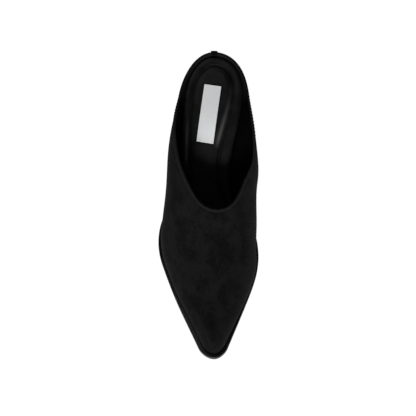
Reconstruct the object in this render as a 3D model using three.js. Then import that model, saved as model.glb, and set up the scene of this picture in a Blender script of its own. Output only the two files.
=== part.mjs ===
// A pointed suede mule on a covered block heel, for the right foot.
// Millimetres, +Z up. The toe points to -Y, the heel to +Y, and the inner side of the foot is +X.
import * as THREE from "three";

// Sizes of the last
const LENGTH = 251; // feather edge, from the back of the heel to the toe tip
const BALL = 81; // breadth across the ball
const INSTEP = 66; // height of the last's crest over the bottom, where the table says 1
const HEEL = 57; // rise of the sole's underside at the back of the heel
const TOE_SPRING = 7; // lift of the sole's underside at the toe tip
const HEEL_ROUND = 40; // length of the rounded back end of the outline
const TOE_ROUND = 6; // length of the rounded tip of the outline

// Sizes of the upper
const WALL = 2.2; // suede and lining together
const THROAT = 143; // from the back of the heel to the throat of the topline
const STRIP_WIDTH = 6; // back strip, round the heel
const STRIP_THICK = 0.8;
const STRIP_FLAP = 1.2; // how far the strip turns down inside the collar

// Sizes of the bottom
const SOLE = 3.6; // outsole thickness
const MIDSOLE = 2.2; // midsole thickness
const LEDGE = 5.2; // how far the midsole stands out past the upper at the toe tip
const BEVEL = 0.8; // how much the midsole's top edge is set back
const SOLE_TURN = 0.6; // rounding of the outsole's lower edge

// Sizes of the insole
const INSOLE = 4.2; // thickness in the middle of the pad
const RIM = 14; // from the insole's edge to the flat of its pad
const LABEL_LENGTH = 48; // seen from above
const LABEL_WIDTH = 14.5;
const LABEL_THICK = 0.5;
const LABEL_BACK = 53.5; // from the back of the heel to the middle of the label
const LABEL_ASIDE = 4.4; // from the shoe's centre line to the outer side
const LABEL_TURN = 8.2; // degrees, its front end towards the outer side

// Sizes of the heel
const SEAT = 64; // length of the heel block under the sole
const SEAT_INSET = 1.2; // how far the block stays inside the sole's edge
const LIFT = 6; // top lift thickness

// Clearance that neighbouring pieces keep
const GAP = 0.3;

// Steps along and up the shoe
const COLLAR_STEPS = 28;
const VAMP_STEPS = 22;
const RIB_STEPS = 12;
const HEEL_STEPS = 16;
const STRIP_STEPS = 4;
const LABEL_STEPS = 10;

const UP = new THREE.Vector3(0, 0, 1);

// Tangents of a curve that bends evenly from row to row and runs out straight at its ends
function evenTangents(gaps, slopes) {
  const tangents = new Array(slopes.length + 1).fill(0);
  const sweeps = 30;
  for (let sweep = 0; sweep < sweeps; sweep += 1) {
    for (let k = 0; k <= slopes.length; k += 1) {
      const before = k > 0 ? 1 / gaps[k - 1] : 0;
      const after = k < slopes.length ? 1 / gaps[k] : 0;
      const behind = before && before * (3 * slopes[k - 1] - tangents[k - 1]);
      const ahead = after && after * (3 * slopes[k] - tangents[k + 1]);
      tangents[k] = (behind + ahead) / (2 * (before + after));
    }
  }
  return tangents;
}

// Tangents of a curve that never rises or falls past its rows, so that level stretches stay level
function levelTangents(gaps, slopes) {
  const inner = slopes.slice(1).map((slope, k) => {
    if (slopes[k] * slope <= 0) return 0;
    const before = 2 * gaps[k + 1] + gaps[k];
    const after = gaps[k + 1] + 2 * gaps[k];
    return (before + after) / (before / slopes[k] + after / slope);
  });
  return [slopes[0], ...inner, slopes.at(-1)];
}

// A curve through pairs of numbers, straight on past its ends
function curveThrough(at, values, tangentsOf) {
  const gaps = at.slice(1).map((x, k) => x - at[k]);
  const tangents = tangentsOf(gaps, gaps.map((gap, k) => (values[k + 1] - values[k]) / gap));
  return (x) => {
    if (x <= at[0]) return values[0] + tangents[0] * (x - at[0]);
    if (x >= at.at(-1)) return values.at(-1) + tangents.at(-1) * (x - at.at(-1));
    const k = at.findIndex((_, row) => x < at[row + 1]);
    const t = (x - at[k]) / gaps[k];
    const rise = (values[k + 1] - values[k]) * (3 * t ** 2 - 2 * t ** 3);
    const bend = tangents[k] * t * (1 - t) ** 2 - tangents[k + 1] * t ** 2 * (1 - t);
    return values[k] + rise + bend * gaps[k];
  };
}

// One curve for each named column of a table, over its first column
function table(names, rows, tangentsOf = evenTangents) {
  const [, ...columns] = names.split(" ");
  const at = rows.map((row) => row[0]);
  const column = (k) => curveThrough(at, rows.map((row) => row[k + 1]), tangentsOf);
  return Object.fromEntries(columns.map((name, k) => [name, column(k)]));
}

// Bottom line of the shoe: rise is a share of HEEL and spring of TOE_SPRING, along shares of LENGTH
const BOTTOM = table("at rise spring", [
  [0.00, 1.000, 0.00],
  [0.10, 0.984, 0.00],
  [0.20, 0.918, 0.00],
  [0.30, 0.770, 0.00],
  [0.40, 0.541, 0.00],
  [0.48, 0.333, 0.00],
  [0.56, 0.142, 0.00],
  [0.61, 0.048, 0.00],
  [0.64, 0.012, 0.00],
  [0.67, 0.000, 0.00],
  [0.74, 0.000, 0.00],
  [0.82, 0.000, 0.12],
  [0.90, 0.000, 0.44],
  [1.00, 0.000, 1.00],
], levelTangents);

// Sections of the last, along shares of LENGTH. The two sides of the feather edge, the bulge of
// each side past it and the ridge's shift to the inner side are shares of BALL, the crest is a
// share of INSTEP, the height of the bulge a share of the section's height, and ledge of LEDGE.
const LAST = table("at inside outside bulge_in bulge_out bulge_up ridge crest ledge", [
  [0.00, 0.372, 0.316, 0.012, 0.012, 0.26, 0.03, 0.80, 0.10],
  [0.10, 0.346, 0.330, 0.014, 0.014, 0.27, 0.04, 0.80, 0.10],
  [0.20, 0.314, 0.350, 0.070, 0.040, 0.30, 0.04, 0.80, 0.10],
  [0.30, 0.242, 0.372, 0.200, 0.086, 0.35, 0.04, 0.82, 0.12],
  [0.40, 0.194, 0.392, 0.270, 0.100, 0.40, 0.04, 0.86, 0.20],
  [0.48, 0.240, 0.448, 0.230, 0.064, 0.36, 0.04, 0.90, 0.40],
  [0.56, 0.362, 0.526, 0.100, 0.024, 0.25, 0.04, 0.88, 0.76],
  [0.64, 0.428, 0.538, 0.022, 0.018, 0.18, 0.03, 0.74, 0.74],
  [0.70, 0.422, 0.488, 0.026, 0.018, 0.15, 0.03, 0.62, 0.66],
  [0.80, 0.318, 0.364, 0.038, 0.020, 0.13, 0.02, 0.45, 0.76],
  [0.90, 0.182, 0.214, 0.036, 0.020, 0.12, 0.00, 0.32, 0.94],
  [1.00, 0.054, 0.070, 0.020, 0.020, 0.10, 0.00, 0.23, 1.00],
]);

// Height of the topline over the bottom, along shares of THROAT, as shares of the throat's height
const TOPLINE = table("at inside outside", [
  [0.00, 0.090, 0.090],
  [0.18, 0.140, 0.145],
  [0.35, 0.280, 0.300],
  [0.55, 0.485, 0.565],
  [0.75, 0.700, 0.785],
  [0.90, 0.885, 0.940],
  [1.00, 1.000, 1.000],
]);

// Rings of the insole's top, from its edge inwards: inset is a share of RIM and height of INSOLE
const SOCK_RINGS = [
  { inset: 0.00, height: 0.00 },
  { inset: 0.00, height: 0.48 },
  { inset: 0.07, height: 0.70 },
  { inset: 0.26, height: 0.80 },
  { inset: 0.46, height: 0.74 },
  { inset: 0.58, height: 0.56 },
  { inset: 0.70, height: 0.78 },
  { inset: 1.00, height: 1.00 },
];

// Breadth of the insole's rim on each side, along shares of LENGTH, as shares of RIM
const SOCK_RIM = table("at inside outside", [
  [0.00, 1.00, 1.00],
  [0.06, 0.88, 0.84],
  [0.15, 0.98, 0.76],
  [0.32, 1.25, 0.84],
  [0.50, 1.05, 0.95],
  [1.00, 1.00, 1.00],
]);

// Levels of the heel block: height is a share of its own height, back is how far its back has moved
// forward and depth its length, as shares of SEAT, and width is a share of the sole's breadth there
const HEEL_LEVELS = [
  { height: 0.00, back: 0.100, depth: 0.600, width: 0.740 },
  { height: 0.14, back: 0.108, depth: 0.590, width: 0.735 },
  { height: 0.32, back: 0.104, depth: 0.600, width: 0.755 },
  { height: 0.52, back: 0.080, depth: 0.650, width: 0.800 },
  { height: 0.72, back: 0.045, depth: 0.745, width: 0.870 },
  { height: 0.88, back: 0.016, depth: 0.870, width: 0.950 },
  { height: 1.00, back: 0.000, depth: 1.000, width: 1.000 },
];

// Share of the full length at which a point lies
const share = (y) => 0.5 - y / LENGTH;

// Undersides and upper faces of the bottom, each as a height over the floor
const soleUnder = (y) => HEEL * BOTTOM.rise(share(y)) + TOE_SPRING * BOTTOM.spring(share(y));
const soleTop = (y) => soleUnder(y) + SOLE;
const midsoleUnder = (y) => soleTop(y) + GAP;
const midsoleTop = (y) => midsoleUnder(y) + MIDSOLE;
const footing = (y) => midsoleTop(y) + GAP;

// How much of its full breadth the outline has left where its ends are rounded
function rounding(at) {
  const heel = Math.min(1, (at * LENGTH) / HEEL_ROUND);
  const toe = Math.min(1, ((1 - at) * LENGTH) / TOE_ROUND);
  return Math.sqrt(1 - (1 - heel) ** 2) * Math.sqrt(1 - (1 - toe) ** 2);
}

// A place along the outline as an angle: 0 at the back of the heel and PI at the toe tip, so that
// the outline runs smoothly on to its other side past either end
const angleOf = (at) => Math.acos(1 - 2 * at);

// Feather edge in plan, with side 1 for the inner and -1 for the outer side
function outline(angle, side) {
  if (angle < 0) return outline(-angle, -side);
  if (angle > Math.PI) return outline(2 * Math.PI - angle, -side);
  const at = (1 - Math.cos(angle)) / 2;
  const breadth = side > 0 ? LAST.inside(at) : LAST.outside(at);
  return new THREE.Vector2(side * breadth * BALL * rounding(at), LENGTH * (0.5 - at));
}

// Direction straight out of the outline
function outwards(at, side) {
  const angle = angleOf(at);
  const step = 0.004;
  const along = outline(angle + step, side).sub(outline(angle - step, side)).normalize();
  return new THREE.Vector3(-along.y * side, along.x * side, 0);
}

// A point of the feather edge, moved out by a distance and put on a surface
function edge(at, side, out, height) {
  const plan = outline(angleOf(at), side);
  const point = new THREE.Vector3(plan.x, plan.y, 0).addScaledVector(outwards(at, side), out);
  return point.setZ(height(point.y));
}

// Ribs lean together at the heel and at the toe, where they meet the ridge short of each end
const TOE_BEND = 0.80;
const TOE_POLE = 0.955;
const HEEL_BEND = 0.20;
const HEEL_POLE = 0.10;
function spine(at) {
  const toe = Math.max(0, (at - TOE_BEND) / (1 - TOE_BEND));
  const heel = Math.max(0, (HEEL_BEND - at) / HEEL_BEND);
  return at - (1 - TOE_POLE) * toe ** 2 + HEEL_POLE * heel ** 2;
}

// Highest line of the last
function crest(at) {
  const met = spine(at);
  const y = LENGTH * (0.5 - met);
  return new THREE.Vector3(LAST.ridge(met) * BALL, y, footing(y) + LAST.crest(met) * INSTEP);
}

// How full the rib is: where its side stops rising straight, and how flat it runs to the ridge
const SHOULDER = 0.42;
const CROWN = 0.55;

// Bow of a rib under the bulge, as shares of how far the bulge reaches out and up
const BOW = { out: 0.60, up: 0.40, end: 0.45 };

// One rib of the last, from the feather edge over the bulge to the ridge: 0 to 1 to 2
function rib(at, side) {
  const foot = edge(at, side, 0, footing);
  const top = crest(at);
  const out = outwards(at, side);
  const rise = top.z - foot.z;
  const bulge = (side > 0 ? LAST.bulge_in(at) : LAST.bulge_out(at)) * BALL;
  const up = LAST.bulge_up(at) * rise;
  const widest = foot.clone().addScaledVector(out, bulge).addScaledVector(UP, up);
  const lower = new THREE.CubicBezierCurve3(
    foot,
    foot.clone().addScaledVector(out, BOW.out * bulge).addScaledVector(UP, BOW.up * up),
    widest.clone().addScaledVector(UP, -BOW.end * up),
    widest,
  );
  const reach = widest.clone().sub(top).setZ(0);
  const step = 0.01;
  const next = crest(Math.min(1, at + step));
  const before = crest(Math.max(0, at - step));
  const fall = (next.z - before.z) / (next.y - before.y);
  const upper = new THREE.CubicBezierCurve3(
    widest,
    widest.clone().addScaledVector(UP, SHOULDER * (top.z - widest.z)),
    top.clone().addScaledVector(reach, CROWN).addScaledVector(UP, CROWN * reach.y * fall),
    top,
  );
  return (along) => (along <= 1 ? lower.getPoint(along) : upper.getPoint(Math.min(1, along - 1)));
}

// Height of the topline over the floor, on the rib at this place
function toplineHeight(at, side) {
  const throat = crest(THROAT / LENGTH);
  const tall = throat.z - footing(throat.y);
  const shares = side > 0 ? TOPLINE.inside : TOPLINE.outside;
  return footing(LENGTH * (0.5 - at)) + shares((at * LENGTH) / THROAT) * tall;
}

// Where the topline cuts a rib, on its scale of 0 to 2: past the throat it runs up to the ridge
function ribEnd(at, side) {
  if (at * LENGTH > THROAT - GAP / 100) return 2;
  const curve = rib(at, side);
  const height = toplineHeight(at, side);
  const halvings = 40;
  let low = 0;
  let high = 2;
  for (let halving = 0; halving < halvings; halving += 1) {
    const middle = (low + high) / 2;
    if (curve(middle).z < height) low = middle;
    else high = middle;
  }
  return low;
}

// Rows of points up a rib: a quarter of them on its lower half, which is the shorter one
function ribRows(at, side) {
  const curve = rib(at, side);
  const half = ribEnd(at, side) / 2;
  const lowRows = 0.25;
  return Array.from({ length: RIB_STEPS + 1 }, (_, row) => {
    const low = row / RIB_STEPS / lowRows;
    const high = (row / RIB_STEPS - lowRows) / (1 - lowRows);
    return curve(low < 1 ? half * low : half * (1 + high));
  });
}

// Places along the shoe where it is cut into sections, close together at the ends and the throat
const STATIONS = [
  ...Array.from({ length: COLLAR_STEPS }, (_, k) => {
    return ((THROAT / LENGTH) * (1 - Math.cos((Math.PI * k) / COLLAR_STEPS))) / 2;
  }),
  ...Array.from({ length: VAMP_STEPS + 1 }, (_, k) => {
    const throat = THROAT / LENGTH;
    return throat + (1 - throat) * Math.sin((Math.PI * k) / (2 * VAMP_STEPS));
  }),
];

// Points and triangles of one piece
class Body {
  constructor() {
    this.points = [];
    this.faces = [];
  }

  vertex(point) {
    return this.points.push(point) - 1;
  }

  // Two rows of vertices joined by triangles, across the shorter diagonal of each panel. They face
  // out where the rows run clockwise seen from above and the second one is the upper.
  strip(lower, upper) {
    const apart = (a, b) => this.points[a].distanceTo(this.points[b]);
    for (let k = 1; k < lower.length; k += 1) {
      const [a, b, c, d] = [lower[k - 1], upper[k - 1], upper[k], lower[k]];
      if (apart(a, c) < apart(b, d)) {
        this.face(a, b, c);
        this.face(a, c, d);
      } else {
        this.face(a, b, d);
        this.face(b, c, d);
      }
    }
  }

  face(a, b, c) {
    if (a !== b && b !== c && c !== a) this.faces.push([a, b, c]);
  }

  // A line round the shoe from its inner and outer halves, which share the points where they meet
  ring(inner, outer) {
    const inside = inner.map((point) => this.vertex(point));
    const outside = outer.map((point, k) => {
      return point.distanceTo(inner[k]) < GAP / 10 ? inside[k] : this.vertex(point);
    });
    return { inside, outside };
  }

  // The side between two rings, with a straight front where their halves don't meet
  band(lower, upper) {
    const front = (ring) => [ring.inside.at(-1), ring.outside.at(-1)];
    this.strip(lower.inside, upper.inside);
    this.strip(front(lower), front(upper));
    this.strip(lower.outside.toReversed(), upper.outside.toReversed());
  }

  // A solid through rings from its underside up, closed straight across at both ends
  loft(rings) {
    this.strip(rings[0].outside, rings[0].inside);
    rings.slice(1).forEach((above, k) => this.band(rings[k], above));
    this.strip(rings.at(-1).inside, rings.at(-1).outside);
    return this;
  }

  // A solid between this sheet and its other face, given as one point for each of its own
  backed(others) {
    const edges = new Map();
    const count = this.points.length;
    for (const [a, b, c] of this.faces) {
      for (const [from, to] of [[a, b], [b, c], [c, a]]) {
        if (!edges.delete(`${to} ${from}`)) edges.set(`${from} ${to}`, [from, to]);
      }
    }
    const backs = this.faces.map(([a, b, c]) => [c + count, b + count, a + count]);
    const walls = [...edges.values()].flatMap(([from, to]) => [
      [to, from, from + count],
      [to, from + count, to + count],
    ]);
    this.points.push(...others);
    this.faces.push(...backs, ...walls);
    return this;
  }

  geometry() {
    const shape = new THREE.BufferGeometry();
    shape.setFromPoints(this.points);
    shape.setIndex(this.faces.flat());
    shape.computeVertexNormals();
    return shape;
  }

  // Direction out of the sheet at each of its points
  normals() {
    const normal = this.geometry().getAttribute("normal");
    return this.points.map((_, k) => new THREE.Vector3().fromBufferAttribute(normal, k));
  }
}

// A ring round the shoe, at a distance out of the feather edge and on a surface
function sideRing(body, out, height) {
  const half = (side) => STATIONS.map((at) => edge(at, side, out(at), height));
  return body.ring(half(1), half(-1));
}

// Upper: a skin over all ribs, and its wall inside that skin, standing level on the midsole
function upper() {
  const body = new Body();
  const inner = STATIONS.map((at) => ribRows(at, 1));
  const outer = STATIONS.map((at) => ribRows(at, -1));
  const rows = inner[0].map((_, row) => {
    return body.ring(inner.map((points) => points[row]), outer.map((points) => points[row]));
  });
  rows.slice(1).forEach((above, k) => body.band(rows[k], above));
  const lining = body.normals().map((normal, k) => {
    return body.points[k].clone().addScaledVector(normal, -WALL);
  });
  STATIONS.forEach((at, k) => {
    lining[rows[0].inside[k]] = edge(at, 1, -WALL, footing);
    lining[rows[0].outside[k]] = edge(at, -1, -WALL, footing);
  });
  return body.backed(lining);
}

// Back strip: lies on the back of the upper, turns over the topline and ends inside the collar
function backStrip() {
  const near = GAP;
  const far = GAP + STRIP_THICK;
  const above = [
    { up: 0.12, off: far, past: 0 },
    { up: 0.50, off: far, past: 0 },
    { up: 1.00, off: far, past: 0 },
    { up: 1.00, off: near, past: far },
    { up: 1.00, off: -WALL - near, past: far },
    { up: 1.00, off: -WALL - far, past: 0 },
    { up: 1.00, off: -WALL - far, past: -STRIP_FLAP },
  ];
  const below = [
    { up: 0.12, off: near, past: 0 },
    { up: 0.50, off: near, past: 0 },
    { up: 1.00, off: near, past: 0 },
    { up: 1.00, off: near, past: near },
    { up: 1.00, off: -WALL - near, past: near },
    { up: 1.00, off: -WALL - near, past: 0 },
    { up: 1.00, off: -WALL - near, past: -STRIP_FLAP },
  ];
  const place = (angle, { up, off, past }) => {
    const at = (1 - Math.cos(angle)) / 2;
    const side = angle < 0 ? -1 : 1;
    const curve = rib(at, side);
    const reached = ribEnd(at, side) * up;
    const step = 0.01;
    const climb = curve(reached + step).sub(curve(reached)).normalize();
    const along = outwards(at, side).cross(UP);
    const out = along.cross(climb).negate();
    return curve(reached).addScaledVector(out, off).addScaledVector(climb, past);
  };
  const reach = Math.asin(STRIP_WIDTH / 2 / (LAST.inside(0) * BALL));
  const turn = reach * Math.sqrt((2 * HEEL_ROUND) / LENGTH);
  const angles = Array.from({ length: STRIP_STEPS + 1 }, (_, k) => {
    return turn * ((2 * k) / STRIP_STEPS - 1);
  });
  const body = new Body();
  const rows = above.map((row) => angles.map((angle) => body.vertex(place(angle, row))));
  rows.slice(1).forEach((next, k) => body.strip(rows[k], next));
  return body.backed(below.flatMap((row) => angles.map((angle) => place(angle, row))));
}

// Insole: a rolled rim, a groove and a raised pad, inside the wall of the upper
function insole() {
  const body = new Body();
  const middle = (at) => {
    const met = spine(at);
    const aside = ((LAST.inside(met) - LAST.outside(met)) / 2) * BALL;
    return new THREE.Vector3(aside, LENGTH * (0.5 - met), 0);
  };
  const place = (at, side, { inset, height }) => {
    const rim = edge(at, side, -WALL - GAP, () => 0);
    const inward = middle(at).sub(rim);
    const widest = 0.85; // of the way to the middle line, where the shoe is narrow
    const breadth = RIM * (side > 0 ? SOCK_RIM.inside(at) : SOCK_RIM.outside(at));
    const reach = inset * Math.min(breadth, widest * inward.length());
    const point = rim.addScaledVector(inward.normalize(), reach);
    return point.setZ(footing(point.y) + height * INSOLE);
  };
  const half = (side, row) => STATIONS.map((at) => place(at, side, row));
  const rings = SOCK_RINGS.map((row) => body.ring(half(1, row), half(-1, row)));
  return body.loft(rings);
}

// Label: a thin plate on the pad, following its slope
function label() {
  const body = new Body();
  const turn = THREE.MathUtils.degToRad(LABEL_TURN);
  const forward = new THREE.Vector2(-Math.sin(turn), -Math.cos(turn));
  const aside = new THREE.Vector2(-Math.cos(turn), Math.sin(turn));
  const middle = new THREE.Vector2(-LABEL_ASIDE, LENGTH / 2 - LABEL_BACK);
  const across = [-0.5, 0, 0.5];
  const along = Array.from({ length: LABEL_STEPS + 1 }, (_, k) => k / LABEL_STEPS - 0.5);
  const place = (u, v, lift) => {
    const plan = middle.clone();
    plan.addScaledVector(aside, u * LABEL_WIDTH).addScaledVector(forward, v * LABEL_LENGTH);
    return new THREE.Vector3(plan.x, plan.y, footing(plan.y) + INSOLE + GAP + lift);
  };
  const rows = across.map((u) => along.map((v) => body.vertex(place(u, v, LABEL_THICK))));
  rows.slice(1).forEach((next, k) => body.strip(rows[k], next));
  return body.backed(across.flatMap((u) => along.map((v) => place(u, v, 0))));
}

// Midsole: a thin layer whose ledge shows round the toe, with its top edge set back
function midsole() {
  const body = new Body();
  return body.loft([
    sideRing(body, (at) => LAST.ledge(at) * LEDGE, midsoleUnder),
    sideRing(body, (at) => LAST.ledge(at) * (LEDGE - BEVEL), midsoleTop),
  ]);
}

// Outsole: flat on the floor at the ball, with toe spring in front and rising to the heel behind
function outsole() {
  const body = new Body();
  const side = (at) => LAST.ledge(at) * LEDGE;
  return body.loft([
    sideRing(body, (at) => side(at) - SOLE_TURN, soleUnder),
    sideRing(body, side, (y) => soleUnder(y) + SOLE_TURN),
    sideRing(body, side, soleTop),
  ]);
}

// Outline of the heel block at one of its levels, for one side, from the back to the breast
function heelSide(side, level, height) {
  return Array.from({ length: HEEL_STEPS + 1 }, (_, k) => {
    const at = (SEAT / LENGTH) * (1 - Math.cos((Math.PI * k) / (2 * HEEL_STEPS)));
    const seat = edge(at, side, LAST.ledge(at) * LEDGE - SEAT_INSET, () => 0);
    const y = LENGTH / 2 - level.back * SEAT - (LENGTH / 2 - seat.y) * level.depth;
    return new THREE.Vector3(seat.x * level.width, y, height(y));
  });
}

// Heel block: rounded behind and hollowed at the breast, from its lift up to the sole
function heelBlock() {
  const body = new Body();
  const foot = LIFT + GAP;
  return body.loft(HEEL_LEVELS.map((level) => {
    const height = (y) => foot + level.height * (soleUnder(y) - GAP - foot);
    return body.ring(heelSide(1, level, height), heelSide(-1, level, height));
  }));
}

// Top lift: the rubber under the heel block
function topLift() {
  const body = new Body();
  const half = (side, z) => heelSide(side, HEEL_LEVELS[0], () => z);
  return body.loft([0, LIFT].map((z) => body.ring(half(1, z), half(-1, z))));
}

// A named piece with its finish
function piece(name, body, color, roughness) {
  const mesh = new THREE.Mesh(body.geometry(), new THREE.MeshStandardMaterial({ color, roughness }));
  mesh.name = name;
  return mesh;
}

const SUEDE = 0x1b191a;
const LEATHER = 0x171617;
const EDGE_INK = 0x2c2b2c;
const RUBBER = 0x131313;
const SILVER = 0xc2c3c6;

const shoe = new THREE.Group();
shoe.add(
  piece("upper", upper(), SUEDE, 0.95),
  piece("back_strip", backStrip(), SUEDE, 0.9),
  piece("insole", insole(), LEATHER, 0.45),
  piece("label", label(), SILVER, 0.35),
  piece("midsole", midsole(), LEATHER, 0.25),
  piece("outsole", outsole(), EDGE_INK, 0.4),
  piece("heel_block", heelBlock(), SUEDE, 0.95),
  piece("top_lift", topLift(), RUBBER, 0.7),
);

// The shoe stands on the floor with its middle over the origin
const bounds = new THREE.Box3().setFromObject(shoe);
const middle = bounds.getCenter(new THREE.Vector3());
shoe.position.set(-middle.x, -middle.y, -bounds.min.z);

export default shoe;
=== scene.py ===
"""A pointed suede mule on a covered block heel, for the right foot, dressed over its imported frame.

Metres, +Z up. The toe points to -Y, the heel to +Y, and the inner side of the foot is +X.
"""

import logging
import math
from dataclasses import dataclass, field
from enum import Enum
from functools import partial
from typing import Callable, NamedTuple, Sequence

import bmesh
import bpy
import numpy as np
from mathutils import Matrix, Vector, noise
from mathutils.bvhtree import BVHTree
from mathutils.kdtree import KDTree


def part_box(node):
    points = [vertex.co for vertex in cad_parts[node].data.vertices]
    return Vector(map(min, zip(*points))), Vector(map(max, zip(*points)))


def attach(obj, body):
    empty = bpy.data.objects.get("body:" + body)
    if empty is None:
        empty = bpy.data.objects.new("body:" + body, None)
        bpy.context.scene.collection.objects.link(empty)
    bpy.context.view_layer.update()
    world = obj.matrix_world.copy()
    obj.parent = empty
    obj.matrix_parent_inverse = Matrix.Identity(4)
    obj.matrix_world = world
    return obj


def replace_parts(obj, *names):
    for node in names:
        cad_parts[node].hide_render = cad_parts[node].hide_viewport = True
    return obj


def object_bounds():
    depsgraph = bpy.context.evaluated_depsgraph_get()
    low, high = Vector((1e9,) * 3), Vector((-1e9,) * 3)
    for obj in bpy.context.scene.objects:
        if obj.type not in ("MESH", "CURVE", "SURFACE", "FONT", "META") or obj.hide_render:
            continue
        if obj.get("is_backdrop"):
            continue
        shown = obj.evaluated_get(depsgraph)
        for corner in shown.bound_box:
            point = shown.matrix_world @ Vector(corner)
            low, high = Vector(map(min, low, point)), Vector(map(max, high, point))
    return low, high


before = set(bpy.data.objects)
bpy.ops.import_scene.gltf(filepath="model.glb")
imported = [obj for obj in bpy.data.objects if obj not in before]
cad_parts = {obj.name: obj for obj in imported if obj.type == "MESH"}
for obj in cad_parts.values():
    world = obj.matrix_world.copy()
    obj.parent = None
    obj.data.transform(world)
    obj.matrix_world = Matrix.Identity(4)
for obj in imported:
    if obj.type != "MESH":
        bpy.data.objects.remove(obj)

LOG = logging.getLogger("mule")
MM = 0.001
BODY = "root"
PITCH = 0.3 * MM  # between the dots of a line
WELD = 0.001 * MM  # points nearer than this are one
TOUCH = 0.002 * MM  # points nearer than this lie on a line
HALVINGS = 40  # to find where the topline cuts a rib

Points = np.ndarray
Surface = Callable[[Points], Points]
Rows = Sequence[tuple[float, float]]
Panel = tuple[int, ...]
Piece = bpy.types.Object
Material = bpy.types.Material
Socket = bpy.types.NodeSocket


class Side(Enum):
    """A side of the shoe, by its sign along X."""

    INNER = 1
    OUTER = -1

    @property
    def other(self) -> "Side":
        """The opposite side."""
        return Side(-self.value)


class Bend(Enum):
    """How a table's curves pass through their rows."""

    EVEN = "bends evenly from row to row"
    LEVEL = "never rises or falls past its rows"


@dataclass(frozen=True)
class Curve:
    """A smooth curve through the rows of a table, straight on past its ends."""

    at: Points
    values: Points
    slopes: Points

    @classmethod
    def through(cls, at: Points, values: Points, bend: Bend) -> "Curve":
        """Fits a curve to a column of a table.

        Args:
            at: Places of the rows.
            values: The column's values.
            bend: How the curve passes through the rows.

        Returns:
            The curve.
        """
        gaps = np.diff(at)
        rises = np.diff(values) / gaps
        if bend is Bend.LEVEL:
            return cls(at, values, cls.level_slopes(gaps, rises))
        return cls(at, values, cls.even_slopes(gaps, rises))

    @staticmethod
    def even_slopes(gaps: Points, rises: Points) -> Points:
        """Slopes at the rows of a curve whose bend runs on evenly.

        Args:
            gaps: Distances between rows.
            rises: Slopes between rows.

        Returns:
            One slope for each row.
        """
        rows = len(gaps) + 1
        system = np.zeros((rows, rows))
        right = np.zeros(rows)
        for k, (gap, rise) in enumerate(zip(gaps, rises)):
            system[k, k] += 2 / gap
            system[k, k + 1] += 1 / gap
            system[k + 1, k] += 1 / gap
            system[k + 1, k + 1] += 2 / gap
            right[[k, k + 1]] += 3 * rise / gap
        return np.linalg.solve(system, right)

    @staticmethod
    def level_slopes(gaps: Points, rises: Points) -> Points:
        """Slopes at the rows of a curve whose level stretches stay level.

        Args:
            gaps: Distances between rows.
            rises: Slopes between rows.

        Returns:
            One slope for each row.
        """
        slopes = np.zeros(len(gaps) + 1)
        slopes[0], slopes[-1] = rises[0], rises[-1]
        for k in range(1, len(gaps)):
            if rises[k - 1] * rises[k] > 0:
                before = 2 * gaps[k] + gaps[k - 1]
                after = gaps[k] + 2 * gaps[k - 1]
                slopes[k] = (before + after) / (before / rises[k - 1] + after / rises[k])
        return slopes

    def __call__(self, x: Points) -> Points:
        """Values at any places.

        Args:
            x: Places along the table.

        Returns:
            The curve's value at each.
        """
        x = np.asarray(x, float)
        k = np.clip(np.searchsorted(self.at, x, side="right") - 1, 0, len(self.at) - 2)
        gap = self.at[k + 1] - self.at[k]
        t = (x - self.at[k]) / gap
        rise = (self.values[k + 1] - self.values[k]) * (3 * t**2 - 2 * t**3)
        bend = self.slopes[k] * t * (1 - t) ** 2 - self.slopes[k + 1] * t**2 * (1 - t)
        inside = self.values[k] + rise + bend * gap
        before = self.values[0] + self.slopes[0] * (x - self.at[0])
        after = self.values[-1] + self.slopes[-1] * (x - self.at[-1])
        return np.where(x < self.at[0], before, np.where(x > self.at[-1], after, inside))


def table(names: str, rows: Sequence[Sequence[float]], bend: Bend = Bend.EVEN) -> dict[str, Curve]:
    """One curve for each named column of a table, over its first column.

    Args:
        names: Names of the columns, the first one for the places.
        rows: The table's rows.
        bend: How the curves pass through the rows.

    Returns:
        The curves by column name.
    """
    columns = np.array(rows, float).T
    return {
        name: Curve.through(columns[0], column, bend)
        for name, column in zip(names.split()[1:], columns[1:])
    }


BOTTOM = table("at rise spring", [
    [0.00, 1.000, 0.00],
    [0.10, 0.984, 0.00],
    [0.20, 0.918, 0.00],
    [0.30, 0.770, 0.00],
    [0.40, 0.541, 0.00],
    [0.48, 0.333, 0.00],
    [0.56, 0.142, 0.00],
    [0.61, 0.048, 0.00],
    [0.64, 0.012, 0.00],
    [0.67, 0.000, 0.00],
    [0.74, 0.000, 0.00],
    [0.82, 0.000, 0.12],
    [0.90, 0.000, 0.44],
    [1.00, 0.000, 1.00],
], Bend.LEVEL)

SECTIONS = table("at inside outside bulge_in bulge_out bulge_up ridge crest ledge", [
    [0.00, 0.372, 0.316, 0.012, 0.012, 0.26, 0.03, 0.80, 0.10],
    [0.10, 0.346, 0.330, 0.014, 0.014, 0.27, 0.04, 0.80, 0.10],
    [0.20, 0.314, 0.350, 0.070, 0.040, 0.30, 0.04, 0.80, 0.10],
    [0.30, 0.242, 0.372, 0.200, 0.086, 0.35, 0.04, 0.82, 0.12],
    [0.40, 0.194, 0.392, 0.270, 0.100, 0.40, 0.04, 0.86, 0.20],
    [0.48, 0.240, 0.448, 0.230, 0.064, 0.36, 0.04, 0.90, 0.40],
    [0.56, 0.362, 0.526, 0.100, 0.024, 0.25, 0.04, 0.88, 0.76],
    [0.64, 0.428, 0.538, 0.022, 0.018, 0.18, 0.03, 0.74, 0.74],
    [0.70, 0.422, 0.488, 0.026, 0.018, 0.15, 0.03, 0.62, 0.66],
    [0.80, 0.318, 0.364, 0.038, 0.020, 0.13, 0.02, 0.45, 0.76],
    [0.90, 0.182, 0.214, 0.036, 0.020, 0.12, 0.00, 0.32, 0.94],
    [1.00, 0.054, 0.070, 0.020, 0.020, 0.10, 0.00, 0.23, 1.00],
])

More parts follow.
